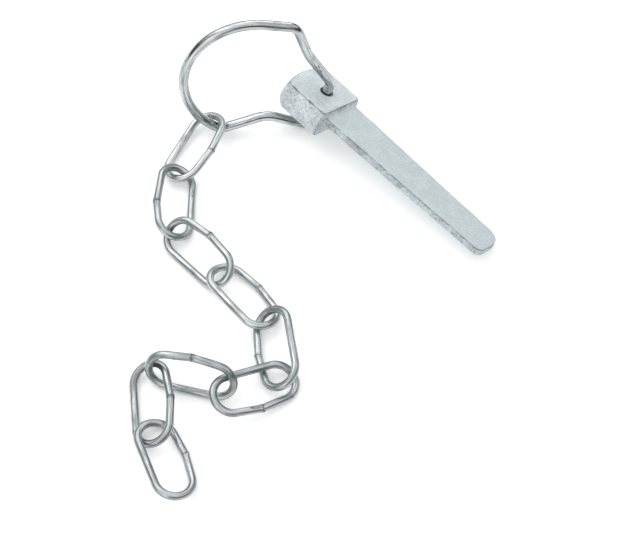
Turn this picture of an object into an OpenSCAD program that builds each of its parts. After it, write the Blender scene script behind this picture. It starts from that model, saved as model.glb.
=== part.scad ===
// Flat forged cotter with a sprung wire ring and a free length of long-link chain.
// The whole thing lies loose on a flat surface at z = 0, as it comes to rest.
// Millimetres and degrees, +Z up, origin under the middle of the laid-out assembly.

/* [Cotter] */
// Length of the blade, from the head to the tip
blade_length = 82.5; // [60:0.5:140]
// Width of the blade where it leaves the head
blade_root_width = 18.8; // [14:0.1:19.4]
// Width of the blade at the tip
blade_tip_width = 15; // [12:0.1:18]
// Thickness of the blade where it leaves the head
blade_root_thickness = 4; // [3.5:0.1:6]
// Thickness of the blade at the tip
blade_tip_thickness = 3.5; // [2.5:0.1:5]
// Corner radius of the tip on the side that lies on the ground
tip_far_corner = 6; // [2:0.5:7]
// Corner radius of the tip on the raised side
tip_near_corner = 3.5; // [1:0.5:7]
// Width of the head across its top and bottom edges
head_width = 22.5; // [22:0.5:26]
// Thickness of the head
head_thickness = 13; // [11:0.5:16]
// How far the blade's top face lies below the head's
head_step = 2.6; // [1.5:0.1:4]
// Distance from the ring hole to the top edge of the head's end
hole_to_end = 13.5; // [10:0.1:16]
// How far the head's end bulges out beyond its top and bottom edges
end_bulge = 2; // [0.5:0.1:3]
// How far the head's sides bulge out beyond their top and bottom edges
side_bulge = 1.8; // [0.2:0.1:2.4]
// Distance from the ring hole to the face that the blade leaves
hole_to_blade = 9.4; // [7:0.1:14]
// Radius of the end's top edge, seen from above
end_radius = 25; // [16:1:40]
// Radius of the two corners between the end and the sides
end_corner = 3.5; // [1:0.5:5]
// Radius of the two corners between the sides and the blade's face
side_corner = 2.5; // [0.5:0.1:2.6]
// Radius of the edge between the head's underside and the blade's face
head_edge = 1; // [0.5:0.1:1.5]
// Radius of the hollow where the blade's sides meet the head
side_fillet = 0.8; // [0.4:0.1:0.9]
// Radius of the hollow between the head and the blade's top face
top_fillet = 1.5; // [0.5:0.1:2.5]
// Radius of the hollow between the head and the blade's underside
under_fillet = 4; // [1:0.5:5]

/* [Ring] */
// Thickness of the ring's wire
ring_wire = 4; // [3:0.1:5]
// Difference between the hole and the wire that turns in it, on the diameter
hole_clearance = 1; // [0.4:0.1:1.6]
// Length of wire that each end of the ring reaches into the hole
stub_depth = 5; // [3:0.5:5.5]
// Radius of the ring's round bow, to the middle of the wire
bow_radius = 27.5; // [26:0.5:30]
// Distance of the bow's centre from the hole
bow_reach = 30; // [29:0.5:34]
// Height of the upper leg's start above the head, to the middle of the wire
upper_leg_rise = 4.5; // [4:0.5:8]
// Radius of the bends where the wire turns into the hole
stub_bend = 3.5; // [3:0.5:5]
// Radius of the upper shoulder bend
upper_shoulder_bend = 5; // [3:0.5:6]
// Radius of the lower shoulder bend
lower_shoulder_bend = 6; // [4:0.5:8]
// Radius of the slight bend halfway along each leg
leg_bend = 12; // [6:1:20]

/* [Chain] */
// Thickness of the chain's wire
chain_wire = 3; // [2.5:0.1:3.2]
// Half of a link's length, to the middle of the wire
link_half_length = 16.2; // [15.8:0.1:18]
// Radius of the round ends of a link, to the middle of the wire
link_bend = 7; // [6.8:0.1:7.4]
// Slope of the two halves of the limb that is closed in its middle
limb_slope = 6.5; // [4:0.5:8]
// How far the closing weld stands out of the wire all round
weld_height = 0.25; // [0.1:0.05:0.4]
// Length of the closing weld along the wire
weld_length = 1.2; // [0.6:0.1:2]

/* [Resting pose] */
// Direction that the blade points in
blade_heading = -45.5; // [-60:0.5:-30]
// How far the cotter is rolled about its length, onto its far edge
cotter_roll = 25; // [20:0.5:30]
// Angle of the ring about the hole, from straight back over the head's end
ring_swing = 48; // [44:1:52]
// Where on the bow the chain hangs, from the bow's far side
hang_angle = -70; // [-72:1:-66]

/* [Hidden] */
$fn = 48;
beyond = 1;
galvanised = "#ccd3d6";
bright_zinc = "#b9bfc0";

// Place of the ring hole's upper mouth on the ground plan
hole_place = [3.8, 78.3];

// The chain as it lies. For each link: the heading, how far it leans with its left limb
// up, how far its nose is lifted, and where the next link's round end lies from its own,
// forwards and to the left of the mean heading, in bend radii.
LAY = [
    [-118, 20, -5, 1.4, 0.05],
    [-91, -32, 1, 1.25, 0.05],
    [-46, 38, 1, 1, 0.1],
    [-50, -17, 1, 1.3, 0.25],
    [-81, 34, 0, 0.55, 0.15],
    [-156, -12, 12, 0.8, -0.85],
    [-194, -65, -1, 0.95, -0.3],
    [-84, 26, -1, 0.7, 0.05],
    [-68, -17, 4, 0, 0]
];
// Which limb of each link holds the weld: 1 for the left one, -1 for the right one
WELD_SIDE = [1, -1, 1, 1, -1, 1, -1, 1, -1];
// Distance of the first link's round end from the ring's wire, in bend radii
hang_ahead = 0.4;

// Bent wire: points in one plane, joined by straights, with a bend radius at each corner

// Straights are drawn this much thinner than bends and their ends sink into the bends,
// so that every joint closes.
hair = 0.02;
sink = 0.05;

function unit(v) = v / norm(v);
function back(points, i) = unit(points[i - 1] - points[i]);
function onward(points, i) = unit(points[i + 1] - points[i]);
// Half of the angle between the two straights that meet at corner i
function half_angle(points, i) = acos(back(points, i) * onward(points, i)) / 2;
function trim(points, bends, i) = bends[i] == 0 ? 0 : bends[i] / tan(half_angle(points, i));
function bend_start(points, bends, i) = points[i] + trim(points, bends, i) * back(points, i);
function bend_end(points, bends, i) = points[i] + trim(points, bends, i) * onward(points, i);
function bend_centre(points, bends, i) = points[i]
    + bends[i] / sin(half_angle(points, i)) * unit(back(points, i) + onward(points, i));
function turns_left(points, i) = cross(onward(points, i), back(points, i)) > 0;

module straight(from, to, wire) {
    run = to - from;
    translate([from.x, from.y, 0])
        rotate([0, 90, atan2(run.y, run.x)])
            translate([0, 0, -sink])
                cylinder(h = norm(run) + 2 * sink, d = wire - hair);
}

// Part of a ring of wire, from a start angle anticlockwise round the centre
module arc(centre, radius, start, sweep, wire) {
    translate([centre.x, centre.y, 0])
        rotate(start)
            rotate_extrude(angle = sweep)
                translate([radius, 0])
                    circle(d = wire);
}

module bent_wire(points, bends, wire) {
    last = len(points) - 1;
    for (i = [1 : last - 1]) {
        centre = bend_centre(points, bends, i);
        spoke = (turns_left(points, i) ? bend_start(points, bends, i)
            : bend_end(points, bends, i)) - centre;
        arc(centre, bends[i], atan2(spoke.y, spoke.x), 180 - 2 * half_angle(points, i), wire);
    }
    for (i = [0 : last - 1])
        straight(i == 0 ? points[0] : bend_end(points, bends, i),
            i == last - 1 ? points[last] : bend_start(points, bends, i + 1), wire);
}

// Cotter, drawn along +X with the ring hole's upper mouth at the origin

blade_end = hole_to_blade + blade_length;
side_slope = (blade_root_width - blade_tip_width) / 2 / blade_length;
side_stretch = sqrt(1 + side_slope * side_slope);
under_slope = (blade_root_thickness - blade_tip_thickness) / blade_length;
under_stretch = sqrt(1 + under_slope * under_slope);

function side_y(x) = blade_root_width / 2 - side_slope * (x - hole_to_blade);
function under_z(x) = -head_step - blade_root_thickness + under_slope * (x - hole_to_blade);

// Pieces seen from above run through the whole height, pieces seen from the side through
// the whole width, and the cotter is what the two have in common. Rounding cylinders sit a
// hair inside the corners that they round.
module upright(radius) {
    cylinder(h = head_thickness + 2 * beyond, r = radius);
}

// Radius of the arc that rises by the bulge in the middle of the head's thickness
function bulge_radius(bulge) = (pow(head_thickness / 2, 2) + pow(bulge, 2)) / 2 / bulge;

// Outline of the head halfway down, where it is largest
module head_outline() {
    end_middle = [end_radius - hole_to_end, 0];
    reach = end_radius + end_bulge;
    half_width = head_width / 2 + side_bulge;
    corner_y = half_width - end_corner;
    corner_x = end_middle.x - sqrt(pow(reach - end_corner, 2) - pow(corner_y, 2));
    share = reach / (reach - end_corner);
    touch = end_middle + share * ([corner_x, corner_y] - end_middle);
    linear_extrude(head_thickness + 2 * beyond)
        polygon([[corner_x, -half_width], [hole_to_blade - side_corner, -half_width],
            [hole_to_blade, side_corner - half_width], [hole_to_blade, half_width - side_corner],
            [hole_to_blade - side_corner, half_width], [corner_x, half_width],
            touch, [touch.x, -touch.y]]);
    for (side = [-1, 1]) {
        translate([corner_x + hair, side * (corner_y - hair), 0])
            upright(end_corner);
        translate([hole_to_blade - side_corner - hair, side * (half_width - side_corner - hair), 0])
            upright(side_corner);
    }
    intersection() {
        translate([end_middle.x, 0, 0])
            upright(reach);
        translate([-hole_to_end - end_bulge - beyond, -touch.y, 0])
            cube([hole_to_end, 2 * touch.y, head_thickness + 2 * beyond]);
    }
}

// Disc whose rim bulges like the head's end, in the middle of the height of the outline
module bulged_disc() {
    rim = bulge_radius(end_bulge);
    translate([end_radius - hole_to_end, 0, beyond + head_thickness / 2]) {
        rotate_extrude()
            intersection() {
                translate([end_radius + end_bulge - rim, 0])
                    circle(rim);
                translate([end_radius / 2, -head_thickness / 2 - beyond / 2])
                    square([end_radius, head_thickness + beyond]);
            }
        cylinder(h = head_thickness + beyond, r = 0.6 * end_radius, center = true);
    }
}

// Lying cylinder that bulges like the head's side, flush with it halfway down
module bulged_side(side) {
    roundness = bulge_radius(side_bulge);
    translate([0, side * (head_width / 2 + side_bulge - roundness), beyond + head_thickness / 2])
        rotate([0, 90, 0])
            cylinder(h = 4 * end_radius, r = roundness, center = true);
}

module head_block() {
    intersection() {
        head_outline();
        bulged_disc();
        bulged_side(1);
        bulged_side(-1);
    }
}

// Centre of the tip's corner, and of the hollow beside the head, on the +Y side
function tip_centre(radius) = [blade_end - radius,
    side_y(blade_end - radius) - radius * side_stretch];
side_centre = [hole_to_blade + side_fillet,
    side_y(hole_to_blade + side_fillet) + side_fillet * side_stretch];
across = [side_slope, 1] / side_stretch;

module blade_block() {
    far = tip_centre(tip_far_corner);
    near = tip_centre(tip_near_corner);
    side_foot = side_centre - side_fillet * across;
    far_touch = far + tip_far_corner * across;
    near_touch = near + tip_near_corner * across;
    linear_extrude(head_thickness + 2 * beyond)
        polygon([[0, side_centre.y], [hole_to_blade, side_centre.y], side_foot, far_touch,
            [blade_end, far.y], [blade_end, -near.y], [near_touch.x, -near_touch.y],
            [side_foot.x, -side_foot.y], [hole_to_blade, -side_centre.y], [0, -side_centre.y]]);
    translate([far.x - hair, far.y - hair, 0])
        upright(tip_far_corner);
    translate([near.x - hair, hair - near.y, 0])
        upright(tip_near_corner);
}

// Seen from the side: x along the blade, y up
module side_block() {
    top_middle = [hole_to_blade + top_fillet, top_fillet - head_step];
    under_middle = [hole_to_blade + under_fillet,
        under_z(hole_to_blade + under_fillet) - under_fillet * under_stretch];
    under_foot = under_middle + under_fillet / under_stretch * [-under_slope, 1];
    difference() {
        linear_extrude(2 * head_width)
            polygon([[-hole_to_end - end_bulge - beyond, 0], [hole_to_blade, 0], [hole_to_blade, top_middle.y],
                [top_middle.x, -head_step], [blade_end + beyond, -head_step],
                [blade_end + beyond, under_z(blade_end + beyond)], under_foot,
                [hole_to_blade, under_middle.y], [hole_to_blade, head_edge - head_thickness],
                [hole_to_blade - head_edge, -head_thickness],
                [-hole_to_end - end_bulge - beyond, -head_thickness]]);
        translate([top_middle.x - hair, top_middle.y - hair, -beyond])
            cylinder(h = 2 * (head_width + beyond), r = top_fillet);
        translate([under_middle.x - hair, under_middle.y + hair, -beyond])
            cylinder(h = 2 * (head_width + beyond), r = under_fillet);
    }
    translate([hole_to_blade - head_edge - hair, head_edge + hair - head_thickness, 0])
        cylinder(h = 2 * head_width, r = head_edge);
}

module cotter() {
    intersection() {
        translate([0, 0, -head_thickness - beyond])
            difference() {
                union() {
                    head_block();
                    blade_block();
                }
                for (side = [-1, 1])
                    translate([side_centre.x + hair, side * (side_centre.y + hair), 0])
                        upright(side_fillet);
                upright((ring_wire + hole_clearance) / 2);
            }
        translate([0, head_width, 0])
            rotate([90, 0, 0])
                side_block();
    }
}

// The cotter lies on its far lower edge: the head's blade-side corner and the tip's far
// corner both touch the ground, which sets how far the blade points down.
edge_drop = sin(cotter_roll) * (head_width - blade_tip_width) / 2
    + cos(cotter_roll) * (head_thickness - head_step - blade_tip_thickness);
blade_dip = atan(edge_drop / blade_length);
// Rise for each unit along the blade, across it to its far side, and up through it
rise = [-sin(blade_dip), -cos(blade_dip) * sin(cotter_roll), cos(blade_dip) * cos(cotter_roll)];
hole_height = -(hole_to_blade * rise.x + head_width / 2 * rise.y - head_thickness * rise.z);

module laid_cotter() {
    translate([hole_place.x, hole_place.y, hole_height])
        rotate([0, blade_dip, blade_heading])
            rotate([-cotter_roll, 0, 0])
                children();
}

// Turn a vector of the cotter's own axes into the laid-out assembly's axes
function level(v) = [v.x, v.y * cos(cotter_roll) + v.z * sin(cotter_roll),
    v.z * cos(cotter_roll) - v.y * sin(cotter_roll)];
function dipped(v) = [v.x * cos(blade_dip) + v.z * sin(blade_dip), v.y,
    v.z * cos(blade_dip) - v.x * sin(blade_dip)];
function headed(v) = [v.x * cos(blade_heading) - v.y * sin(blade_heading),
    v.x * sin(blade_heading) + v.y * cos(blade_heading), v.z];
function laid(v) = headed(dipped(level(v)));

// Ring, in the plane through the hole's axis: x away from the hole, y up along the hole

ring_out = laid([-cos(ring_swing), -sin(ring_swing), 0]);
ring_up = laid([0, 0, 1]);
// The lower leg leaves the hole at the depth where its bend rests on the ground
ring_foot = (ring_wire / 2 + stub_bend * norm([ring_out.z, ring_up.z])
    - hole_height - stub_bend * ring_out.z) / ring_up.z - stub_bend;

// The bow's lowest point keeps its height whatever the bow's radius, and each shoulder
// stands out from the bow along its own direction.
bow_lowest = -30.5;
bow_middle = [bow_reach, bow_lowest + bow_radius];
upper_leg = [14, 15.5];
upper_shoulder = bow_middle + (bow_radius + 2.8) * [cos(103.4), sin(103.4)];
lower_leg = [19, ring_foot];
lower_shoulder = bow_middle + (bow_radius + 0.3) * [cos(-80.7), sin(-80.7)];

// Angle on the bow at which a straight from the point p touches it, on the given side
function touch_angle(p, side) = atan2(p.y - bow_middle.y, p.x - bow_middle.x)
    - side * acos(bow_radius / norm(p - bow_middle));
function on_bow(angle) = bow_middle + bow_radius * [cos(angle), sin(angle)];
bow_top = touch_angle(upper_shoulder, 1);
bow_bottom = touch_angle(lower_shoulder, -1);

module ring() {
    color(bright_zinc)
        laid_cotter()
            rotate([90, 0, 180 + ring_swing]) {
                bent_wire([[0, -stub_depth], [0, upper_leg_rise], upper_leg, upper_shoulder,
                    on_bow(bow_top)],
                    [0, stub_bend, leg_bend, upper_shoulder_bend, 0], ring_wire, $fn = 32);
                arc(bow_middle, bow_radius, bow_bottom, bow_top - bow_bottom, ring_wire, $fn = 32);
                bent_wire([on_bow(bow_bottom), lower_shoulder, lower_leg, [0, ring_foot],
                    [0, stub_depth - head_thickness]],
                    [0, lower_shoulder_bend, leg_bend, stub_bend, 0], ring_wire, $fn = 32);
            }
}

module pin() {
    color(galvanised)
        laid_cotter()
            cotter();
}

// Links: a straight limb on the right, the welded limb bowed out on the left

end_reach = link_half_length - link_bend;
limb_start = [end_reach + link_bend * sin(limb_slope), link_bend * cos(limb_slope)];
seam = [0, limb_start.y + limb_start.x * tan(limb_slope)];

// Depth of a tilted link's lowest wire middle below its own centre, where fall is how
// much height is lost for each unit along x and y
function depth(fall) = max(end_reach * abs(fall.x) + link_bend * norm(fall),
    fall * seam + weld_height);

function ahead(angle) = [cos(angle), sin(angle)];
function aside(angle) = [-sin(angle), cos(angle)];
// Ground plan of link i's rear and front round end centres
function rear(i) = i == 0
    ? [hang_point.x, hang_point.y] + hang_ahead * link_bend * ahead(LAY[0][0])
    : front(i - 1) + link_bend * (LAY[i - 1][3] * ahead(mean_heading(i))
        + LAY[i - 1][4] * aside(mean_heading(i)));
function front(i) = rear(i) + 2 * end_reach * cos(LAY[i][2]) * ahead(LAY[i][0]);
function mean_heading(i) = (LAY[i - 1][0] + LAY[i][0]) / 2;
function link_height(i) = chain_wire / 2
    + depth([-sin(LAY[i][2]), -WELD_SIDE[i] * cos(LAY[i][2]) * sin(LAY[i][1])]);
hang_point = [hole_place.x, hole_place.y, hole_height]
    + (bow_middle.x + bow_radius * cos(hang_angle)) * ring_out
    + (bow_middle.y + bow_radius * sin(hang_angle)) * ring_up;

// Barrel of upset metal where the two halves of the limb meet
module weld() {
    barrel = (pow(weld_length / 2, 2) + pow(weld_height, 2)) / 2 / weld_height;
    translate([seam.x, seam.y, 0])
        rotate([0, 90, 0])
            rotate_extrude()
                intersection() {
                    translate([chain_wire / 2 + weld_height - barrel, 0])
                        circle(barrel);
                    translate([0, -weld_length / 2])
                        square([chain_wire, weld_length]);
                }
}

module bare_link() {
    arc([end_reach, 0], link_bend, -90, 180 - limb_slope, chain_wire);
    arc([-end_reach, 0], link_bend, 90 + limb_slope, 180 - limb_slope, chain_wire);
    straight([-end_reach, -link_bend], [end_reach, -link_bend], chain_wire);
    straight([-limb_start.x, limb_start.y], seam, chain_wire);
    straight(seam, limb_start, chain_wire);
    weld();
}

module link(i) {
    centre = (rear(i) + front(i)) / 2;
    color(bright_zinc)
        translate([centre.x, centre.y, link_height(i)])
            rotate([0, -LAY[i][2], LAY[i][0]])
                rotate([LAY[i][1], 0, 0])
                    mirror([0, WELD_SIDE[i] < 0 ? 1 : 0, 0])
                        bare_link($fn = 20);
}

pin();
ring();
link(0);  // link_1
link(1);  // link_2
link(2);  // link_3
link(3);  // link_4
link(4);  // link_5
link(5);  // link_6
link(6);  // link_7
link(7);  // link_8
link(8);  // link_9
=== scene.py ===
"""Looks of a forged cotter with a sprung wire ring and nine chain links.

Every piece is a surface worked out from the sizes in the property groups and laid in the
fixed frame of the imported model. Lengths are in metres and angles in radians.
"""

import math

import bpy
import numpy as np
from bpy.props import FloatProperty, FloatVectorProperty, IntProperty, PointerProperty
from bpy.types import Operator, Panel, PropertyGroup
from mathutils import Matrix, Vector


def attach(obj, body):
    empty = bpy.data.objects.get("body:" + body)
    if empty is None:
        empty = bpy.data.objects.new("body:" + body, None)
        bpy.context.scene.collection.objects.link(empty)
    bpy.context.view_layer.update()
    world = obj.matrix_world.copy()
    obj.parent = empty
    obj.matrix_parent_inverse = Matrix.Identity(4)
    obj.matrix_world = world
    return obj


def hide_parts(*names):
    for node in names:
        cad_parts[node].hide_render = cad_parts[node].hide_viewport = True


bl_info = {
    "name": "Cotter with ring and chain",
    "version": (1, 0, 0),
    "blender": (4, 5, 0),
    "location": "View3D > Sidebar > Cotter",
    "description": "Builds a galvanised cotter, its wire ring and its chain",
    "category": "Add Mesh",
}

MM = 0.001
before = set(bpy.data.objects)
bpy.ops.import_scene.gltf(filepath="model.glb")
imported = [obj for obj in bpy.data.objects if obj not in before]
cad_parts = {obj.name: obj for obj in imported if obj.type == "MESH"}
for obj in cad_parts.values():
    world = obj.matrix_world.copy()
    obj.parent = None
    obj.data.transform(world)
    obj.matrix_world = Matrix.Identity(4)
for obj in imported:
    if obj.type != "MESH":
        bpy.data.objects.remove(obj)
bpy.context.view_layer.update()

# Place of the ring hole's upper mouth on the ground plan
HOLE_PLACE = (3.8 * MM, 78.3 * MM)
# Corners of the ring's legs in its own plane: the upper one, and the lower one's distance
UPPER_LEG = (14 * MM, 15.5 * MM)
LOWER_LEG = 19 * MM
# The ring's shoulders: angle on the bow in degrees, and distance outside it
UPPER_SHOULDER = (103.4, 2.8 * MM)
LOWER_SHOULDER = (-80.7, 0.3 * MM)
# Each link of the chain as it lies: heading, lean with the left limb up, lift of the nose
# (degrees), and the next link's place ahead and to the left, in bend radii
LAY = (
    (-118, 20, -5, 1.4, 0.05),
    (-91, -32, 1, 1.25, 0.05),
    (-46, 38, 1, 1, 0.1),
    (-50, -17, 1, 1.3, 0.25),
    (-81, 34, 0, 0.55, 0.15),
    (-156, -12, 12, 0.8, -0.85),
    (-194, -65, -1, 0.95, -0.3),
    (-84, 26, -1, 0.7, 0.05),
    (-68, -17, 4, 0, 0),
)
# Dents in the cotter, each painted dark as its shade and pressed in by the bump: place in its own
# axes, and radius, both in millimetres
DENTS = (
    ((-11.3, -10.6, -0.7), 1.2),
    ((-9.6, -12.2, -3.4), 0.6),
    ((2.5, -11.9, -2.2), 0.5),
    ((13.5, -8.9, -3.6), 0.6),
)
# The limb that holds each link's weld: 1 for the left one, -1 for the right one
WELD_SIDE = (1, -1, 1, 1, -1, 1, -1, 1, 1)
# How far each link's weld lies ahead of the middle of its limb, in millimetres
WELD_AHEAD = (0, 3, 0, 0, 0, 0, 0, 0, 0)
# How dull the ring and each link have become, from 0 to 1
RING_AGE = 0.45
LINK_AGE = (0, 0.6, 0.35, 0.2, 0.4, 0.55, 0.85, 1, 0.65)


def length(name, description, default):
    """A length property in metres."""
    return FloatProperty(name=name, description=description, default=default, unit="LENGTH")


def angle(name, description, degrees):
    """An angle property whose default is given in degrees."""
    return FloatProperty(name=name, description=description, default=math.radians(degrees),
                         unit="ROTATION")


def tint(name, description, default):
    """A linear colour property."""
    return FloatVectorProperty(name=name, description=description, default=default,
                               size=3, subtype="COLOR", min=0, max=1)


class CotterSizes(PropertyGroup):
    """The forged cotter, and how it lies"""

    blade_length: length("Blade length", "From the head to the tip", 0.0825)
    root_width: length("Blade width at root", "Where the blade leaves the head", 0.0188)
    tip_width: length("Blade width at tip", "Across the tip", 0.015)
    root_thickness: length("Blade thickness at root", "Where the blade leaves the head", 0.004)
    tip_thickness: length("Blade thickness at tip", "At the tip", 0.0035)
    far_corner: length("Far tip corner", "Radius of the tip's corner on the ground side", 0.006)
    near_corner: length("Near tip corner", "Radius of the tip's raised corner", 0.0035)
    head_width: length("Head width", "Across the head", 0.0225)
    head_thickness: length("Head thickness", "Through the head", 0.013)
    step: length("Step", "From the head's top face down to the blade's", 0.0026)
    to_end: length("Hole to end", "From the hole to the end's top edge", 0.0135)
    end_bulge: length("End bulge", "How far the end bulges halfway down", 0.002)
    side_bulge: length("Side bulge", "How far the sides bulge halfway down", 0.0018)
    to_blade: length("Hole to blade", "From the hole to the face the blade leaves", 0.0094)
    end_radius: length("End radius", "Radius of the end's top edge, from above", 0.025)
    end_corner: length("End corner", "Radius of the corners at the end", 0.0035)
    side_corner: length("Side corner", "Radius of the corners beside the blade", 0.0014)
    side_fillet: length("Side hollow", "Radius of the hollow beside the blade", 0.0008)
    top_fillet: length("Top hollow", "Radius of the hollow above the blade", 0.0015)
    under_fillet: length("Under hollow", "Radius of the hollow under the blade", 0.004)
    top_round: length("Top edge", "Rounding of the head's top edge", 0.0007)
    under_round: length("Under edge", "Rounding of the head's lower edge", 0.0016)
    blade_round: length("Blade edge", "Rounding of the blade's long edges", 0.0007)
    hole_radius: length("Hole radius", "Radius of the ring hole", 0.0025)
    hole_round: length("Hole edge", "Rounding of the ring hole's upper edge", 0.00035)
    # Painted shade: a dark line just below the top edges, its depth and half width
    edge_shade_depth: length("Line depth", "Dark line below the top edges", 0.0005)
    line_width: length("Line width", "Half width of that line", 0.00035)
    heading: angle("Heading", "Direction the blade points in", -45.5)
    roll: angle("Roll", "Roll onto the far edge", 25)
    wave: length("Surface wave", "Depth of the slow unevenness of the forging", 0.0002)
    grain: length("Surface grain", "Depth of the fine unevenness of the forging", 0.00022)


class RingSizes(PropertyGroup):
    """The sprung wire ring"""

    wire: length("Wire", "Thickness of the ring's wire", 0.004)
    swing: angle("Swing", "Angle about the hole, from straight back", 48)
    bow_radius: length("Bow radius", "Radius of the round bow", 0.0275)
    bow_reach: length("Bow reach", "Bow's centre from the hole's axis", 0.03)
    bow_drop: length("Bow drop", "Bow's centre below the head's top face", 0.003)
    upper_rise: length("Upper rise", "Start of the upper leg above the head", 0.0045)
    stub: length("Stub", "Length of wire that reaches into the hole", 0.005)
    stub_bend: length("Stub bend", "Radius of the bends into the hole", 0.0035)
    upper_shoulder: length("Upper shoulder", "Radius of the upper shoulder", 0.005)
    lower_shoulder: length("Lower shoulder", "Radius of the lower shoulder", 0.006)
    leg_bend: length("Leg bend", "Radius of the slight bend in each leg", 0.012)
    neck: FloatProperty(name="Neck", description="Thinning of the wire at its tight bends",
                        default=0.05, min=0, max=0.2)


class ChainSizes(PropertyGroup):
    """The chain's links, and where it hangs"""

    wire: length("Wire", "Thickness of the chain's wire", 0.003)
    half_length: length("Half length", "Half of a link's length at the wire's middle", 0.0162)
    bend: length("Bend", "Radius of the links' round ends", 0.007)
    slope: angle("Slope", "Slope of the welded limb's halves", 6.5)
    weld_height: length("Weld height", "Room round the wire for the weld's upset", 0.00025)
    weld_length: length("Weld length", "Length of the upset along the wire", 0.0012)
    weld_groove: length("Weld groove", "Depth of the closing line in the weld", 0.0003)
    weld_offset: length("Weld offset", "Mismatch of the two halves at the weld", 0.00004)
    hang: angle("Hang", "Place on the bow where the chain hangs", -70)
    ahead: FloatProperty(name="First link", description="First link's distance from the bow",
                         default=0.4, min=0, max=1)


class Finishes(PropertyGroup):
    """Colours"""

    galvanised: tint("Galvanised", "Dull zinc of the forging", (0.56, 0.63, 0.65))
    pale: tint("Pale bloom", "Lighter patches of the forging", (0.86, 0.91, 0.94))
    # Also the colour of the painted shade along the edges and on the blade's sides
    pit_and_shade: tint("Pit", "Bottom of the forging's pits", (0.13, 0.145, 0.15))
    zinc: tint("Bright zinc", "Plated wire", (0.605, 0.64, 0.645))
    tarnish: tint("Tarnish", "Duller streaks of the wire", (0.225, 0.25, 0.25))
    nick: tint("Nick", "Small dark marks on the wire", (0.09, 0.09, 0.08))
    worn: tint("Worn", "Where links rub", (0.14, 0.15, 0.15))
    floor: tint("Floor", "Plain pale floor", (0.93, 0.93, 0.93))


class Studio(PropertyGroup):
    """Camera, surroundings and floor"""

    elevation: angle("Elevation", "Height of the camera above the horizon", 58)
    distance: length("Distance", "Camera to the point it looks at", 0.7)
    focal: FloatProperty(name="Focal length", description="Focal length in millimetres",
                         default=104.0, min=10)
    aim_x: length("Aim X", "Point the camera looks at", -0.0009)
    aim_y: length("Aim Y", "Point the camera looks at", 0.0054)
    sky: FloatProperty(name="Sky", description="Brightness of the surroundings",
                       default=1.15, min=0)
    dark_below: FloatProperty(name="Dark below", description="Height where the walls turn dark",
                              default=0.3, min=0, max=1)
    bright_above: FloatProperty(name="Bright above", description="Height where the sky is bright",
                                default=0.8, min=0, max=1)
    glow: FloatProperty(name="Floor glow", description="Light from the floor itself",
                        default=0.2, min=0)


# ---------------------------------------------------------------- surfaces

# The noise repeats after this many cells, and starts this many cells before the origin
NOISE_REPEAT = 32
NOISE_START = 500.0
# Rows that close the end of a wire or blade, and the last one's share of the way in
CAP_ROWS = 5
TIP_CAP_ROWS = 9
ROOT_CAP_ROWS = 6
CAP_REACH = 0.98


def lattice_noise(points, cell, seed):
    """Smooth noise from 0 to 1: random values on a cubic lattice with the given cell,
    blended between its eight corners by 3t^2 - 2t^3 along each axis."""
    table = np.random.default_rng(seed).random((NOISE_REPEAT,) * 3)
    place = points / cell + NOISE_START
    low = np.floor(place).astype(int)
    t = place - low
    t = t * t * (3 - 2 * t)
    total = np.zeros(points.shape[:-1])
    for corner in np.ndindex(2, 2, 2):
        share = np.prod(np.where(np.array(corner) == 1, t, 1 - t), axis=-1)
        at = (low + corner) % NOISE_REPEAT
        total += share * table[at[..., 0], at[..., 1], at[..., 2]]
    return total


def grid_normals(grid, closed_rows):
    """Unit normals of a grid of points: the cross product of the differences along its
    columns (always closed) and along its rows."""
    along = np.roll(grid, -1, 1) - np.roll(grid, 1, 1)
    if closed_rows:
        across = np.roll(grid, -1, 0) - np.roll(grid, 1, 0)
    else:
        across = np.gradient(grid, axis=0)
    normal = np.cross(across, along)
    size = np.linalg.norm(normal, axis=-1, keepdims=True)
    return normal / np.maximum(size, 1e-15)


def grid_faces(rows, columns, closed_rows, first=0):
    """Quads of a grid that closes along its columns and, if asked, along its rows."""
    last = rows if closed_rows else rows - 1
    i = np.arange(last)[:, None]
    j = np.arange(columns)[None, :]
    k = (i + 1) % rows
    m = (j + 1) % columns
    quads = np.stack([i * columns + j, i * columns + m, k * columns + m, k * columns + j], -1)
    return quads.reshape(-1, 4) + first


def surface(name, parts, material, attributes=None):
    """One smooth mesh object from parts, each a grid of points and whether its rows close.
    Where they don't, one small flat face closes the first row and one the last."""
    points, loops, sides, first = [], [], [], 0
    for grid, closed_rows in parts:
        rows, columns = grid.shape[:2]
        points.append(grid.reshape(-1, 3))
        quads = grid_faces(rows, columns, closed_rows, first)
        loops.append(quads.ravel())
        sides.append(np.full(len(quads), 4))
        if not closed_rows:
            start = first + np.arange(columns)
            loops += [start[::-1], start + (rows - 1) * columns]
            sides.append(np.full(2, columns))
        first += rows * columns
    points = np.concatenate(points)
    loops = np.concatenate(loops)
    sides = np.concatenate(sides)
    mesh = bpy.data.meshes.new(name)
    mesh.vertices.add(len(points))
    mesh.vertices.foreach_set("co", points.astype(np.float32).ravel())
    mesh.loops.add(len(loops))
    mesh.loops.foreach_set("vertex_index", loops.astype(np.int32))
    mesh.polygons.add(len(sides))
    mesh.polygons.foreach_set("loop_start", (np.cumsum(sides) - sides).astype(np.int32))
    mesh.polygons.foreach_set("use_smooth", np.ones(len(sides), dtype=bool))
    for key, values in (attributes or {}).items():
        kind = "FLOAT_VECTOR" if values.ndim == 2 else "FLOAT"
        layer = mesh.attributes.new(key, kind, "POINT")
        field = "vector" if values.ndim == 2 else "value"
        layer.data.foreach_set(field, values.astype(np.float32).ravel())
    mesh.update()
    mesh.validate()
    mesh.materials.append(material)
    piece = bpy.data.objects.new(name, mesh)
    bpy.context.scene.collection.objects.link(piece)
    return piece


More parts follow.
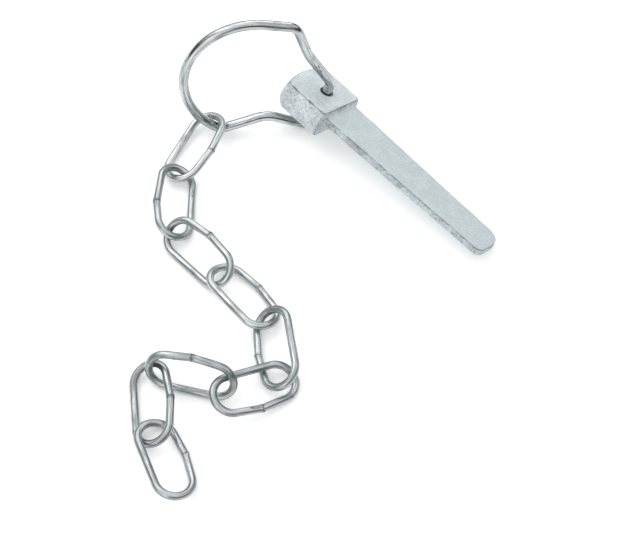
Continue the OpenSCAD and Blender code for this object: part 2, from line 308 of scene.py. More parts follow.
def outward(grid, closed_rows):
    """The grid, turned so that its faces look outwards: the volume that it encloses,
    summed over its quads, has to be positive."""
    rows, columns = grid.shape[:2]
    points = grid.reshape(-1, 3) - grid.mean((0, 1))
    a, b, c, d = points[grid_faces(rows, columns, closed_rows)].transpose(1, 0, 2)
    volume = (np.einsum("ij,ij->i", a, np.cross(b, c))
              + np.einsum("ij,ij->i", a, np.cross(c, d))).sum()
    return grid[:, ::-1] if volume < 0 else grid


def cap_rows(ring, count):
    """Rows that shrink a ring of points in equal steps almost to its middle."""
    middle = ring.mean(0)
    shares = np.linspace(0, CAP_REACH, count)[1:, None, None]
    return ring[None] * (1 - shares) + middle * shares


def distances(path):
    """How far each point of the path lies along it."""
    return np.concatenate([[0], np.cumsum(np.linalg.norm(np.diff(path, axis=0), axis=1))])


def even(path, count, closed):
    """The path resampled to a count of points at equal distances along it."""
    path = np.vstack([path, path[:1]]) if closed else path
    run = distances(path)
    at = np.linspace(0, run[-1], count, endpoint=not closed)
    return np.stack([np.interp(at, run, path[:, k]) for k in range(path.shape[1])], -1)


# ---------------------------------------------------------------- resting pose


def cotter_pose(size):
    """The cotter's axes as columns, and the hole's upper mouth. The blade dips until the
    head's lower far corner and the tip's lower far corner both touch the ground."""
    drop = (math.sin(size.roll) * (size.head_width - size.tip_width) / 2
            + math.cos(size.roll) * (size.head_thickness - size.step - size.tip_thickness))
    dip = math.atan(drop / size.blade_length)
    turn_z = np.array([[math.cos(size.heading), -math.sin(size.heading), 0],
                       [math.sin(size.heading), math.cos(size.heading), 0], [0, 0, 1]])
    turn_y = np.array([[math.cos(dip), 0, math.sin(dip)], [0, 1, 0],
                       [-math.sin(dip), 0, math.cos(dip)]])
    turn_x = np.array([[1, 0, 0], [0, math.cos(size.roll), math.sin(size.roll)],
                       [0, -math.sin(size.roll), math.cos(size.roll)]])
    axes = turn_z @ turn_y @ turn_x
    low = np.array([size.to_blade, size.head_width / 2, -size.head_thickness])
    return axes, np.array([*HOLE_PLACE, -axes[2] @ low])


def ring_pose(cotter, ring):
    """The hole's upper mouth, and the ring's two axes: away from the hole, and up along it."""
    axes, hole = cotter_pose(cotter)
    out = -math.cos(ring.swing) * axes[:, 0] - math.sin(ring.swing) * axes[:, 1]
    return hole, out, axes[:, 2]


def rounded_path(corners, radii, spacing):
    """A path through corners, each rounded by an arc of its radius that touches both of
    its straights, with points at most about the spacing apart."""
    pieces = [corners[:1]]
    for before, corner, after, radius in zip(corners, corners[1:], corners[2:], radii):
        back = (before - corner) / np.linalg.norm(before - corner)
        on = (after - corner) / np.linalg.norm(after - corner)
        half = math.acos(np.clip(back @ on, -1, 1)) / 2
        middle = corner + radius / math.sin(half) * (back + on) / np.linalg.norm(back + on)
        first = corner + back * radius / math.tan(half) - middle
        last = corner + on * radius / math.tan(half) - middle
        start = math.atan2(first[1], first[0])
        sweep = math.atan2(first[0] * last[1] - first[1] * last[0], first @ last)
        t = start + sweep * np.linspace(0, 1, max(4, int(abs(sweep) * radius / spacing)))
        pieces.append(middle + radius * np.stack([np.cos(t), np.sin(t)], -1))
    pieces.append(corners[-1:])
    return np.concatenate(pieces)


def ring_path(cotter, ring):
    """Middle line of the ring's wire in its own plane: from the upper stub over leg and
    shoulder to the round bow, and back by the lower shoulder and leg to the lower stub.
    The lower leg leaves the hole at the depth where its bend rests on the ground."""
    hole, out, up = ring_pose(cotter, ring)
    bow = np.array([ring.bow_reach, -ring.bow_drop])
    foot = (ring.wire / 2 + ring.stub_bend * math.hypot(out[2], up[2])
            - hole[2] - ring.stub_bend * out[2]) / up[2] - ring.stub_bend

    def shoulder(degrees, beyond):
        """Corner that stands out from the bow in this direction."""
        t = math.radians(degrees)
        return bow + (ring.bow_radius + beyond) * np.array([math.cos(t), math.sin(t)])

    upper = np.array([[0, -ring.stub], [0, ring.upper_rise], UPPER_LEG,
                      shoulder(*UPPER_SHOULDER)])
    lower = np.array([shoulder(*LOWER_SHOULDER), [LOWER_LEG, foot], [0, foot],
                      [0, ring.stub - cotter.head_thickness]])

    def touch(point, side):
        """Angle on the bow at which a straight from the point touches it."""
        way = point - bow
        return (math.atan2(way[1], way[0])
                - side * math.acos(ring.bow_radius / np.linalg.norm(way)))

    turn = np.linspace(touch(upper[-1], 1), touch(lower[0], -1), 200)
    arc = bow + ring.bow_radius * np.stack([np.cos(turn), np.sin(turn)], -1)
    spacing = 0.2 * MM
    first = rounded_path(np.vstack([upper, arc[:1]]),
                         (ring.stub_bend, ring.leg_bend, ring.upper_shoulder), spacing)
    last = rounded_path(np.vstack([arc[-1:], lower]),
                        (ring.lower_shoulder, ring.leg_bend, ring.stub_bend), spacing)
    return np.concatenate([first, arc[1:-1], last])


def link_outline(chain, ahead=0.0):
    """Middle line of a link, from its weld round to the weld, with its bends' reach. The
    welded limb's halves run from the weld to where they touch the two bends."""
    reach = chain.half_length - chain.bend
    rise = (chain.bend + reach * math.sin(chain.slope)) / math.cos(chain.slope)
    weld = np.array([ahead, rise])

    def turn(side):
        """Round end on the given side, from where the welded limb touches it."""
        along = reach - side * ahead
        touch = math.atan2(rise, -along) - math.acos(chain.bend / math.hypot(rise, along))
        t = np.linspace(touch, -math.pi / 2, 90)
        return np.stack([side * (reach + chain.bend * np.cos(t)), chain.bend * np.sin(t)], -1)

    return np.concatenate([weld[None], turn(1), turn(-1)[::-1], weld[None]]), weld, reach


def link_poses(cotter, ring, chain):
    """Each link's middle, its long axis and its axis towards the left limb. Links are
    placed on the ground plan one after the other and dropped until they touch it."""
    hole, out, up = ring_pose(cotter, ring)
    _, weld, reach = link_outline(chain)
    hang = (hole + (ring.bow_reach + ring.bow_radius * math.cos(chain.hang)) * out
            + (ring.bow_radius * math.sin(chain.hang) - ring.bow_drop) * up)
    poses = []
    rear = None
    for index, (heading, lean, nose, ahead, aside) in enumerate(LAY):
        way, tilt, lift = np.radians([heading, lean, nose])
        if rear is None:
            rear = hang[:2] + chain.ahead * chain.bend * np.array([math.cos(way), math.sin(way)])
        front = rear + 2 * reach * math.cos(lift) * np.array([math.cos(way), math.sin(way)])
        long_axis = np.array([math.cos(way) * math.cos(lift), math.sin(way) * math.cos(lift),
                              math.sin(lift)])
        level = np.array([-math.sin(way), math.cos(way), 0])
        left = level * math.cos(tilt) + np.cross(long_axis, level) * math.sin(tilt)
        fall = -np.array([long_axis[2], WELD_SIDE[index] * left[2]])
        depth = max(reach * abs(fall[0]) + chain.bend * np.linalg.norm(fall),
                    fall @ weld + chain.weld_height)
        middle = np.append((rear + front) / 2, chain.wire / 2 + depth)
        poses.append((middle, long_axis, left))
        if index + 1 < len(LAY):
            mean = math.radians((heading + LAY[index + 1][0]) / 2)
            rear = front + chain.bend * (ahead * np.array([math.cos(mean), math.sin(mean)])
                                         + aside * np.array([-math.sin(mean), math.cos(mean)]))
    return poses


# ---------------------------------------------------------------- pieces


def bulge(size, height, most):
    """How far a wall stands out at a height below the head's top face: an arc that rises
    by the most in the middle of the thickness and not at all at the two edges."""
    half = size.head_thickness / 2
    radius = (half ** 2 + most ** 2) / 2 / most
    return math.sqrt(max(radius ** 2 - (height + half) ** 2, 0)) - radius + most


def head_outline(size, height, count):
    """The head's outline at a height: blade face, side, end arc and side, joined by
    corner arcs. Every height has the same number of points, spread evenly."""
    half = size.head_width / 2 + bulge(size, height, size.side_bulge)
    reach = size.end_radius + bulge(size, height, size.end_bulge)
    middle = size.end_radius - size.to_end
    edge, corner = size.side_corner, size.end_corner
    corner_y = half - corner
    corner_x = middle - math.sqrt((reach - corner) ** 2 - corner_y ** 2)
    lean = math.atan2(corner_y, middle - corner_x)

    def arc(x, y, radius, start, stop, steps):
        """Points on an arc round (x, y)."""
        t = np.linspace(start, stop, steps)
        return np.stack([x + radius * np.cos(t), y + radius * np.sin(t)], -1)

    quarter = math.pi / 2
    return even(np.concatenate([
        arc(size.to_blade - edge, half - edge, edge, 0, quarter, 24),
        arc(corner_x, corner_y, corner, quarter, math.pi - lean, 40),
        arc(middle, 0, reach, math.pi - lean, math.pi + lean, 120),
        arc(corner_x, -corner_y, corner, math.pi + lean, 3 * quarter, 40),
        arc(size.to_blade - edge, edge - half, edge, -quarter, 0, 24)]), count, True)


def head_grid(size, count=360):
    """The head as a grid round the hole: rows run from the hole's upper mouth over the top
    face, down the wall, back under the lower face and up the hole; columns go round."""
    rows = []

    def row(plan, height):
        """Add the plan's points at this height."""
        rows.append(np.column_stack([plan, np.full(len(plan), height)]))

    def drawn_in(height, inset):
        """The outline at this height, moved inwards by the inset."""
        plan = head_outline(size, height, count)
        along = np.roll(plan, -1, 0) - np.roll(plan, 1, 0)
        inward = np.stack([-along[:, 1], along[:, 0]], -1)
        return plan + inset * inward / np.linalg.norm(inward, axis=1, keepdims=True)

    quarter = math.pi / 2
    rim = size.hole_round
    top = drawn_in(0, size.top_round)
    under = drawn_in(-size.head_thickness, size.under_round)
    turn = np.arctan2(top[:, 1], top[:, 0])
    mouth = size.hole_radius * np.stack([np.cos(turn), np.sin(turn)], -1)
    for t in np.linspace(0, quarter, 5)[:-1]:
        row(mouth * (1 + rim / size.hole_radius * (1 - math.cos(t))), rim * (math.sin(t) - 1))
    lip = mouth * (1 + rim / size.hole_radius)
    for s in np.linspace(0, 1, 36)[:-1]:
        row(lip * (1 - s) + top * s, 0)
    for t in np.linspace(0, quarter, 8):
        height = size.top_round * (math.cos(t) - 1)
        row(drawn_in(height, size.top_round * (1 - math.sin(t))), height)
    for z in np.linspace(-size.top_round, size.under_round - size.head_thickness, 60)[1:-1]:
        row(head_outline(size, z, count), z)
    for t in np.linspace(quarter, 0, 12):
        height = size.under_round * (1 - math.cos(t)) - size.head_thickness
        row(drawn_in(height, size.under_round * (1 - math.sin(t))), height)
    for s in np.linspace(1, 0, 24)[1:]:
        row(mouth * (1 - s) + under * s, -size.head_thickness)
    for z in np.linspace(-size.head_thickness, -rim, 16)[1:-1]:
        row(mouth, z)
    return np.array(rows)


def blade_grid(size):
    """The blade as sections across its length. Each is a rectangle with rounded corners,
    flared into the head at the root and drawn in round the tip. Sections lie closer
    together in the root zone and the tip zone."""
    start = size.to_blade - 1.5 * MM
    end = size.to_blade + size.blade_length
    soft = size.blade_round
    root_zone = size.to_blade + 5 * MM
    tip_zone = end - 7 * MM
    bends = end - soft + soft * np.sin(np.linspace(0, math.pi / 2, 8))
    x = np.concatenate([np.linspace(start, root_zone, 70)[:-1],
                        np.linspace(root_zone, tip_zone, 170)[:-1],
                        np.linspace(tip_zone, end - soft, 50)[:-1], bends])
    share = (x - size.to_blade) / size.blade_length
    half = size.root_width / 2 + (size.tip_width - size.root_width) / 2 * share
    under = (-size.step - size.root_thickness
             + (size.root_thickness - size.tip_thickness) * share)
    top = np.full(len(x), -size.step)

    def flare(radius):
        """How far a hollow of this radius stands out beside the head."""
        t = np.clip(1 - (x - size.to_blade) / radius, 0, 1)
        return radius * (1 - np.sqrt(1 - t * t))

    def corner(radius):
        """How far a tip corner of this radius draws the side in."""
        t = np.clip((x - (end - radius)) / radius, 0, 1)
        return radius * (1 - np.sqrt(1 - t * t))

    drawn = soft - np.sqrt(np.maximum(soft ** 2 - np.clip(x - (end - soft), 0, soft) ** 2, 0))
    far = half + flare(size.side_fillet) - corner(size.far_corner)
    near = half + flare(size.side_fillet) - corner(size.near_corner)
    top = top + flare(size.top_fillet) - drawn
    under = under - flare(size.under_fillet) + drawn
    radius = np.minimum(soft, (top - under) / 2 * 0.98)
    t = np.linspace(0, math.pi / 2, 9)
    sections = []
    for sign_y, sign_z, turn in ((1, 1, t), (-1, 1, t[::-1]), (-1, -1, t), (1, -1, t[::-1])):
        side = far if sign_y > 0 else near
        face = top if sign_z > 0 else under
        y = sign_y * (side - radius)[:, None] + sign_y * radius[:, None] * np.cos(turn)[None]
        z = (face - sign_z * radius)[:, None] + sign_z * radius[:, None] * np.sin(turn)[None]
        sections.append(np.stack([np.broadcast_to(x[:, None], y.shape), y, z], -1))
    around = []
    for k, section in enumerate(sections):
        around.append(section)
        steps = (40, 8)[k % 2]
        after = sections[(k + 1) % 4][:, :1]
        s = np.linspace(0, 1, steps + 2)[1:-1][None, :, None]
        around.append(section[:, -1:] * (1 - s) + after * s)
    grid = np.concatenate(around, 1)
    return np.concatenate([cap_rows(grid[0], ROOT_CAP_ROWS)[::-1], grid,
                           cap_rows(grid[-1], TIP_CAP_ROWS)])


def painted_edge_shade(grid, top, size):
    """How far each point lies in the painted shade line just below the top edge, on the upright
    corners beside the blade or in one of the dents: bell curves of the distances."""
    x, y, z = grid.transpose(2, 0, 1)
    edge_shade = np.exp(-((top - z - size.edge_shade_depth) / size.line_width) ** 2)
    half = size.head_width / 2 + size.side_bulge * (1 - (2 * z / size.head_thickness + 1) ** 2)
    to_face, to_side = size.to_blade - x, half - np.abs(y)
    corner = np.exp(-((to_face - to_side) / (1.3 * size.line_width)) ** 2
                    - (to_face / (4 * size.line_width)) ** 2)
    edge_shade = np.maximum(edge_shade, 0.7 * corner)
    for place, radius in DENTS:
        gap = np.linalg.norm(grid - np.array(place) * MM, axis=-1)
        edge_shade = np.maximum(edge_shade, np.exp(-(gap / (radius * MM)) ** 2))
    return edge_shade


FORGE_SEED = 11


def forged(grid, closed_rows, size, seed):
    """The grid with the unevenness of a forging, cut inwards so that it never grows, and
    how far each point belongs to the rougher walls: slow noise of 7 mm cells, and grain of
    1.9 and 0.8 mm cells that is strongest where the surface stands upright."""
    normal = grid_normals(grid, closed_rows)
    middle = grid.mean((0, 1))
    if np.einsum("ijk,ijk->", normal, grid - middle) < 0:
        normal = -normal
    wall = 1 - np.clip(np.abs(normal[..., 2]) * 1.6 - 0.6, 0, 1)
    wave = lattice_noise(grid, 7 * MM, seed) * size.wave
    grain = (lattice_noise(grid, 1.9 * MM, seed + 1) * 0.55
             + lattice_noise(grid, 0.8 * MM, seed + 2) * 0.45) * size.grain
    return grid - normal * (wave + grain * (0.35 + wall))[..., None], wall


def wire_grid(points, radius, across, count):
    """Circles of wire about a middle line that lies in a plane with the normal across:
    each point plus its radius times (side cos t + across sin t)."""
    run = np.gradient(points, axis=0)
    run /= np.linalg.norm(run, axis=1, keepdims=True)
    side = np.cross(across, run)
    t = np.linspace(0, 2 * math.pi, count, endpoint=False)
    circle = (side[:, None] * np.cos(t)[None, :, None]
              + across[None, None] * np.sin(t)[None, :, None])
    return points[:, None] + radius[:, None, None] * circle


def wire_lay(distance, radius, count, offset):
    """Texture coordinates in millimetres that wrap round the wire and run along it. The
    offset gives each wire its own part of the pattern."""
    t = np.linspace(0, 2 * math.pi, count, endpoint=False)
    lay = np.empty((len(distance), count, 3))
    lay[..., 0] = radius / MM * np.cos(t)
    lay[..., 1] = radius / MM * np.sin(t) + offset
    lay[..., 2] = distance[:, None] / MM
    return lay.reshape(-1, 3)


# Close points along the wire beside a weld: the first step and how far they go
WELD_STEP = 0.02 * MM
WELD_ZONE = 1.2 * MM
# The upset's height as a share of the room for it
UPSET_SHARE = 0.8
# Half widths of the closing line's groove and of its dark mark, and the mark's strength
GROOVE_WIDTH = 0.12 * MM
MARK_WIDTH = 0.22 * MM
MARK_STRENGTH = 0.6
# Where the mismatch of the two halves begins beside the weld, and where it fades
OFFSET_START = 0.1 * MM
OFFSET_FADE = 1.5 * MM
# Half width of the rubbed place on a round end, across it and into the wire
RUB_WIDTH = 3 * MM
RUB_DEPTH = 1.4 * MM
# Each wire's own part of the streaks, in millimetres
RING_LAY = 400
LINK_LAY = 40


def link_wire(chain, ahead):
    """A link's wire from its weld round to the weld: its middle line, the distance along
    it, the wire's radius, the sideways mismatch of the two halves, the dark mark on the
    closing line and the rubbed places. The upset, the groove and the mark are bell curves
    of the distance from the weld, and the mismatch fades exponentially with it."""
    outline, _, reach = link_outline(chain, ahead)
    distance = distances(outline)
    total = distance[-1]
    close = np.geomspace(WELD_STEP, WELD_ZONE, 26)
    at = np.concatenate([close, np.linspace(WELD_ZONE, total - WELD_ZONE, 230)[1:-1],
                         total - close[::-1]])
    plan = np.stack([np.interp(at, distance, outline[:, k]) for k in range(2)], -1)
    from_weld = np.minimum(at, total - at)
    half = np.where(at < total / 2, 1, -1)

    def bell(width):
        """Bell curve of the distance from the weld."""
        return np.exp(-(from_weld / width) ** 2)

    radius = (chain.wire / 2 + UPSET_SHARE * chain.weld_height * bell(chain.weld_length / 2)
              - chain.weld_groove * bell(GROOVE_WIDTH))
    offset = (chain.weld_offset * half * np.exp(-from_weld / OFFSET_FADE)
              * (1 - bell(OFFSET_START)))
    rubbed = np.exp(-(plan[:, 1] / RUB_WIDTH) ** 2) * (np.abs(plan[:, 0]) > reach)
    return plan, at, radius, offset, MARK_STRENGTH * bell(MARK_WIDTH), rubbed


# ---------------------------------------------------------------- materials


class Wire:
    """A socket of a node tree. Arithmetic with numbers or other sockets adds Math nodes."""

    def __init__(self, tree, socket):
        self.tree = tree
        self.socket = socket

    def node(self, kind, inputs=(), output=0, **settings):
        """Any other node: inputs are pairs of an input's name or number and its value."""
        made = self.tree.nodes.new(kind)
        for key, value in settings.items():
            setattr(made, key, value)
        for key, value in inputs:
            if isinstance(value, Wire):
                self.tree.links.new(value.socket, made.inputs[key])
            else:
                made.inputs[key].default_value = value
        return Wire(self.tree, made.outputs[output])

    def math(self, operation, *values):
        """A Math node on the values."""
        return self.node("ShaderNodeMath", tuple(enumerate(values)), operation=operation)

    def __add__(self, other):
        return self.math("ADD", self, other)

    def __sub__(self, other):
        return self.math("SUBTRACT", self, other)

    def __rsub__(self, other):
        return self.math("SUBTRACT", other, self)

    def __mul__(self, other):
        return self.math("MULTIPLY", self, other)

    __radd__ = __add__
    __rmul__ = __mul__

    def ramp(self, low, high):
        """0 below low, 1 above high, smooth between."""
        return self.node("ShaderNodeMapRange", (("Value", self), ("From Min", low),
                                                ("From Max", high)),
                         interpolation_type="SMOOTHSTEP")

    def noise(self, scale, detail=2.0, roughness=0.5, distortion=0.0):
        """Noise at this coordinate."""
        return self.node("ShaderNodeTexNoise", (("Vector", self), ("Scale", scale),
                                                ("Detail", detail), ("Roughness", roughness),
                                                ("Distortion", distortion)))

    def stretched(self, x, y, z):
        """This coordinate scaled along each axis."""
        return self.node("ShaderNodeVectorMath", ((0, self), (1, (x, y, z))),
                         operation="MULTIPLY")

    def mix(self, low, high):
        """The colour low where this is 0 and high where it is 1."""
        made = self.tree.nodes.new("ShaderNodeMix")
        made.data_type = "RGBA"
        self.tree.links.new(self.socket, made.inputs[0])
        for slot, colour in ((6, low), (7, high)):
            if isinstance(colour, Wire):
                self.tree.links.new(colour.socket, made.inputs[slot])
            else:
                made.inputs[slot].default_value = (*colour, 1)
        return Wire(self.tree, made.outputs[2])


def new_material(name, attribute=None):
    """An empty Principled material, its shader, and its coordinate as a Wire."""
    material = bpy.data.materials.new(name)
    material.use_nodes = True
    tree = material.node_tree
    shader = tree.nodes["Principled BSDF"]
    start = Wire(tree, None)
    if attribute:
        place = start.node("ShaderNodeAttribute", output="Vector", attribute_name=attribute)
    else:
        place = start.node("ShaderNodeTexCoord", output="Object")
    return material, tree, shader, place


def bump(height, strength, distance):
    """A bump normal from a height."""
    return height.node("ShaderNodeBump", (("Strength", strength), ("Distance", distance),
                                          ("Height", height)))


# Where the head's finish gives way to the blade's, in millimetres from the hole
BLADE_START = (7.0, 13.0)


def galvanised_material(finish):
    """Dull hot-dip zinc. Flat faces have a pale bloom in patches and fine specks. Walls
    have darker blotches, pale flakes and worm-like pits, where noise crosses its middle
    value. A grey line of painted shade follows the sharp edges, and the blade's upright
    sides get an even painted shade. The place is in millimetres, along the blade, across
    it and up, so a noise's scale counts its cells in each millimetre."""
    material, tree, shader, place = new_material("forged_zinc", "place")
    wall = place.node("ShaderNodeAttribute", output="Fac", attribute_name="wall")
    # How far each point lies in the painted shade along the edges, corners and dents
    edge = place.node("ShaderNodeAttribute", output="Fac", attribute_name="edge")
    along = place.node("ShaderNodeSeparateXYZ", ((0, place),), output="X")
    blade = along.ramp(*BLADE_START)
    bloom = place.noise(0.2, 4, 0.6).ramp(0.36, 0.66)
    speck = place.noise(1.3, 3, 0.65).ramp(0.34, 0.7)
    fine = place.noise(3.6, 2, 0.6)
    mottle = place.stretched(1, 1, 0.7).noise(1.25, 4, 0.66, 0.5)
    flake = place.noise(1.1, 3, 0.6).ramp(0.54, 0.66) * wall
    worm = place.noise(0.75, 4, 0.6, 1.8)
    worms = 1 - worm.math("ABSOLUTE", worm - 0.5).ramp(0.0, 0.035)
    patches = place.noise(0.17, 2, 0.5).ramp(0.4, 0.58)
    # Painted shade: the blade's upright sides are darkened evenly
    side_shade = wall * blade
    blotch = mottle.ramp(0.5, 0.66) * wall
    pits = worms * patches * (wall * 0.8 + 0.15)
    scratch = place.stretched(0.16, 1, 1).noise(1.4, 2, 0.5)
    scratches = (1 - scratch.math("ABSOLUTE", scratch - 0.5).ramp(0.0, 0.02)) * patches
    # Painted shade along the rounded top edges, the upright corners and the dents, weaker on the
    # blade
    edge_shade = edge * (fine * 0.8 + patches * 0.35 + 0.28 - blade * 0.4)
    body = (bloom * (0.45 - blade * 0.25) + speck * 0.6 - blade * 0.28 + flake * 0.8).mix(
        finish.galvanised, finish.pale)
    # Share of the dark colour: real blotches, pits and scratches, and painted shade on the blade's
    # sides and along the edges
    dark = side_shade * 0.06 + blotch * (blade * 0.3 + 0.4) + pits * 0.42 + scratches * 0.1 + edge_shade * 0.85
    colour = dark.math("MINIMUM", dark, 0.9).mix(body, finish.pit_and_shade)
    rough = 0.48 + speck * 0.12 + pits * 0.15
    height = (speck * 0.25 + bloom * 0.3 + fine * 0.15 + flake * 0.3 - blotch * 0.5
              - pits * 0.9 - scratches * 0.15 - edge_shade * 0.4)
    shader.inputs["Metallic"].default_value = 0.45
    tree.links.new(colour.socket, shader.inputs["Base Color"])
    tree.links.new(rough.socket, shader.inputs["Roughness"])
    tree.links.new(bump(height, 0.8, 0.00022).socket, shader.inputs["Normal"])
    return material


def zinc_material(finish, name, polish):
    """Bright zinc on drawn wire: dark and light streaks along the wire, dull patches,
    small nicks, a dark line at the weld and grey specks where the wire rubs. The streaks
    are noise drawn out along the wire, and polish makes the wire smoother."""
    material, tree, shader, place = new_material(name, "lay")
    weld = place.node("ShaderNodeAttribute", output="Fac", attribute_name="weld")
    rub = place.node("ShaderNodeAttribute", output="Fac", attribute_name="rub")
    streak = place.stretched(1, 1, 0.05).noise(1.3, 4, 0.6)
    dull = place.stretched(1, 1, 0.3).noise(0.45, 3, 0.55).ramp(0.45, 0.68)
    age = place.node("ShaderNodeAttribute", output="Fac", attribute_name="age")
    worn = rub * place.noise(0.35, 3, 0.6).ramp(0.42, 0.6) * 0.7
    nick = place.stretched(1, 1, 0.5).noise(0.8, 2, 0.5).ramp(0.69, 0.73)
    skin = place.noise(2.2, 3, 0.6)
    body = (streak.ramp(0.42, 0.58) * 0.55 + dull * 0.3 + age * 0.4).mix(
        finish.zinc, finish.tarnish)
    marks = nick * 0.75 + weld
    colour = worn.mix(marks.math("MINIMUM", marks, 1.0).mix(body, finish.nick), finish.worn)
    rough = 0.3 - polish * 0.45 + dull * 0.12 + streak * 0.1 + marks * 0.3 + worn * 0.3
    shader.inputs["Metallic"].default_value = 1.0
    tree.links.new(colour.socket, shader.inputs["Base Color"])
    tree.links.new(rough.socket, shader.inputs["Roughness"])
    tree.links.new(bump(streak * 0.9 + skin * 0.4 - nick * 0.8, 0.4, 0.00012).socket,
                   shader.inputs["Normal"])
    return material


def ring_zinc(finish):
    """The ring's smoother spring wire."""
    return zinc_material(finish, "spring_zinc", 0.35)


def chain_zinc(finish):
    """The chain's duller wire."""
    return zinc_material(finish, "drawn_zinc", 0.1)


def material_once(name, make):
    """The material of this name, made on first use."""
    return bpy.data.materials.get(name) or make(bpy.context.scene.cotter_finish)


# ---------------------------------------------------------------- operators

# Lamps: name, place, size and power in watts
LAMPS = (
    ("key", (-0.5, 0.5, 0.8), 1.0, 4.2),
    ("side", (0.8, 0.3, 0.6), 0.5, 1.0),
    ("back", (0.1, 0.95, 0.6), 0.6, 1.7),
    ("front", (-0.55, -0.8, 0.35), 0.8, 2.9),
)
# Half of the floor's width
FLOOR_REACH = 3.0
# Colours of the surroundings, below and above
DARK_WALL = (0.05, 0.055, 0.06)
BRIGHT_SKY = (1, 1, 1)
# Width of the camera's sensor in millimetres, and the nearest and farthest it sees
SENSOR = 36
CLIP = (0.05, 20)


class COTTER_OT_forge(Operator):
    """Forge the cotter: head with its hole, and blade"""

    bl_idname = "cotter.forge"
    bl_label = "Forge cotter"

    def execute(self, context):
        size = context.scene.cotter_size
        axes, hole = cotter_pose(size)
        parts, walls, edge_shades, places = [], [], [], []
        for grid, closed_rows, top in ((head_grid(size), True, 0),
                                       (blade_grid(size), False, -size.step)):
            turned = outward(grid, closed_rows)
            rough, wall = forged(turned, closed_rows, size, FORGE_SEED)
            walls.append(wall.ravel())
            # The painted edge shade, kept as the attribute edge
            edge_shades.append(painted_edge_shade(turned, top, size).ravel())
            places.append(turned.reshape(-1, 3) / MM)
            parts.append((rough @ axes.T + hole, closed_rows))
        piece = surface("cotter", parts, material_once("forged_zinc", galvanised_material),
                        {"wall": np.concatenate(walls), "edge": np.concatenate(edge_shades),
                         "place": np.concatenate(places)})
        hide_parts("pin")
        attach(piece, "pin")
        return {"FINISHED"}


class COTTER_OT_bend_ring(Operator):
    """Bend the wire ring and put its ends into the hole"""

    bl_idname = "cotter.bend_ring"
    bl_label = "Bend ring"

    count: IntProperty(name="Wire sides", description="Points round the wire", default=40, min=12)

    def execute(self, context):
        cotter = context.scene.cotter_size
        ring = context.scene.cotter_ring
        hole, out, up = ring_pose(cotter, ring)
        plan = even(ring_path(cotter, ring), 900, False)
        points = hole + plan[:, :1] * out + plan[:, 1:] * up
        step = np.gradient(plan, axis=0)
        turning = np.abs(np.gradient(np.unwrap(np.arctan2(step[:, 1], step[:, 0]))))
        distance = distances(plan)
        tight = np.clip(turning / np.gradient(distance) * ring.stub_bend, 0, 1)
        window = np.hanning(21)
        smooth = np.convolve(tight, window / window.sum(), "same")
        radius = ring.wire / 2 * (1 - ring.neck * smooth)
        grid = wire_grid(points, radius, np.cross(out, up), self.count)
        lay = wire_lay(distance, ring.wire / 2, self.count, RING_LAY)
        whole = np.concatenate([cap_rows(grid[0], CAP_ROWS)[::-1], grid,
                                cap_rows(grid[-1], CAP_ROWS)])
        lays = np.concatenate([np.tile(lay[:self.count], (CAP_ROWS - 1, 1)), lay,
                               np.tile(lay[-self.count:], (CAP_ROWS - 1, 1))])
        turned = outward(whole, False)
        unmarked = np.zeros(len(lays))
        piece = surface("ring_wire", [(turned, False)],
                        material_once("spring_zinc", ring_zinc),
                        {"lay": lays, "weld": unmarked, "rub": unmarked,
                         "age": np.full(len(lays), RING_AGE)})
        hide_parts("ring")
        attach(piece, "ring")
        return {"FINISHED"}


class COTTER_OT_bend_links(Operator):
    """Bend and weld the nine links of the chain"""

    bl_idname = "cotter.bend_links"
    bl_label = "Bend links"

    count: IntProperty(name="Wire sides", description="Points round the wire", default=32, min=12)

    def execute(self, context):
        scene = context.scene
        chain = scene.cotter_chain
        inner_end = chain.half_length - chain.wire / 2
        for index, (middle, long_axis, left) in enumerate(
                link_poses(scene.cotter_size, scene.cotter_ring, chain)):
            plan, at, radius, offset, mark, rubbed = link_wire(chain, WELD_AHEAD[index] * MM)
            toward = WELD_SIDE[index] * left
            across = np.cross(long_axis, toward)
            points = (middle + plan[:, :1] * long_axis + plan[:, 1:] * toward
                      + offset[:, None] * across)
            turned = outward(wire_grid(points, radius, across, self.count), True)
            lay = wire_lay(at, chain.wire / 2, self.count, LINK_LAY * index)
            depth = inner_end - (turned - middle) @ long_axis * np.sign(plan[:, :1])
            rub = np.exp(-(depth / RUB_DEPTH) ** 2) * rubbed[:, None]
            piece = surface(f"link_{index + 1}_wire", [(turned, True)],
                            material_once("drawn_zinc", chain_zinc),
                            {"lay": lay, "weld": np.repeat(mark, self.count),
                             "rub": rub.ravel(), "age": np.full(rub.size, LINK_AGE[index])})
            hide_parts(f"link_{index + 1}")
            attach(piece, f"link_{index + 1}")
        return {"FINISHED"}


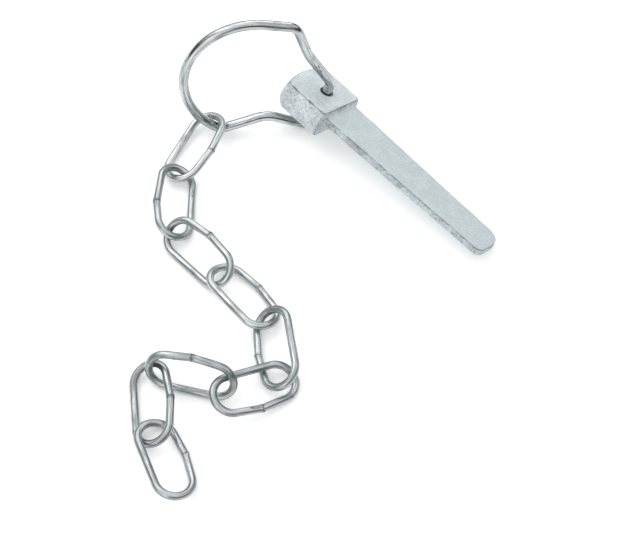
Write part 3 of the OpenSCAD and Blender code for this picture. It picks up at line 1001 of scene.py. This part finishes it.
class COTTER_OT_studio(Operator):
    """Lay the floor, hang the lights and place the camera"""

    bl_idname = "cotter.studio"
    bl_label = "Set up studio"

    def execute(self, context):
        scene = context.scene
        studio = scene.cotter_studio
        material, tree, shader, _ = new_material("floor")
        shader.inputs["Base Color"].default_value = (*scene.cotter_finish.floor, 1)
        shader.inputs["Roughness"].default_value = 0.7
        shader.inputs["Emission Color"].default_value = (1, 1, 1, 1)
        shader.inputs["Emission Strength"].default_value = studio.glow
        corners = FLOOR_REACH * np.array([[-1, -1, 0], [1, -1, 0], [1, 1, 0], [-1, 1, 0]])
        mesh = bpy.data.meshes.new("floor")
        mesh.from_pydata(corners.tolist(), [], [(0, 1, 2, 3)])
        mesh.materials.append(material)
        floor = bpy.data.objects.new("floor", mesh)
        scene.collection.objects.link(floor)
        aim = Vector((studio.aim_x, studio.aim_y, 0))
        for name, place, size, power in LAMPS:
            lamp = bpy.data.lights.new(name, "AREA")
            lamp.energy = power
            lamp.size = size
            thing = bpy.data.objects.new(name, lamp)
            thing.location = place
            thing.rotation_euler = (aim - Vector(place)).to_track_quat("-Z", "Y").to_euler()
            scene.collection.objects.link(thing)
        world = bpy.data.worlds.new("studio")
        world.use_nodes = True
        sky = world.node_tree.nodes["Background"]
        start = Wire(world.node_tree, None)
        direction = start.node("ShaderNodeTexCoord", output="Generated")
        height = direction.node("ShaderNodeSeparateXYZ", ((0, direction),), output="Z")
        shade = height.ramp(studio.dark_below, studio.bright_above)
        colour = shade.mix(DARK_WALL, BRIGHT_SKY)
        world.node_tree.links.new(colour.socket, sky.inputs["Color"])
        sky.inputs["Strength"].default_value = studio.sky
        scene.world = world
        scene.view_settings.view_transform = "Standard"
        camera = bpy.data.cameras.new("camera")
        camera.lens = studio.focal
        camera.sensor_width = SENSOR
        camera.clip_start, camera.clip_end = CLIP
        eye = bpy.data.objects.new("camera", camera)
        away = Vector((0, -math.cos(studio.elevation), math.sin(studio.elevation)))
        eye.location = aim + away * studio.distance
        eye.rotation_euler = (-away).to_track_quat("-Z", "Y").to_euler()
        scene.collection.objects.link(eye)
        scene.camera = eye
        return {"FINISHED"}


class COTTER_PT_panel(Panel):
    """Buttons that build each part of the model"""

    bl_label = "Cotter"
    bl_idname = "COTTER_PT_panel"
    bl_space_type = "VIEW_3D"
    bl_region_type = "UI"
    bl_category = "Cotter"

    def draw(self, context):
        for operator in OPERATORS:
            self.layout.operator(operator.bl_idname)


OPERATORS = (COTTER_OT_forge, COTTER_OT_bend_ring, COTTER_OT_bend_links, COTTER_OT_studio)
GROUPS = {"cotter_size": CotterSizes, "cotter_ring": RingSizes, "cotter_chain": ChainSizes,
          "cotter_finish": Finishes, "cotter_studio": Studio}
CLASSES = (*GROUPS.values(), *OPERATORS, COTTER_PT_panel)


def register():
    """Register the classes and add the property groups to the scene."""
    for item in CLASSES:
        bpy.utils.register_class(item)
    for name, group in GROUPS.items():
        setattr(bpy.types.Scene, name, PointerProperty(type=group))


def unregister():
    """Take away what register added."""
    for name in GROUPS:
        delattr(bpy.types.Scene, name)
    for item in reversed(CLASSES):
        bpy.utils.unregister_class(item)


def main():
    """Build everything in order."""
    register()
    bpy.ops.cotter.forge()
    bpy.ops.cotter.bend_ring()
    bpy.ops.cotter.bend_links()
    bpy.ops.cotter.studio()


if __name__ == "__main__":
    main()
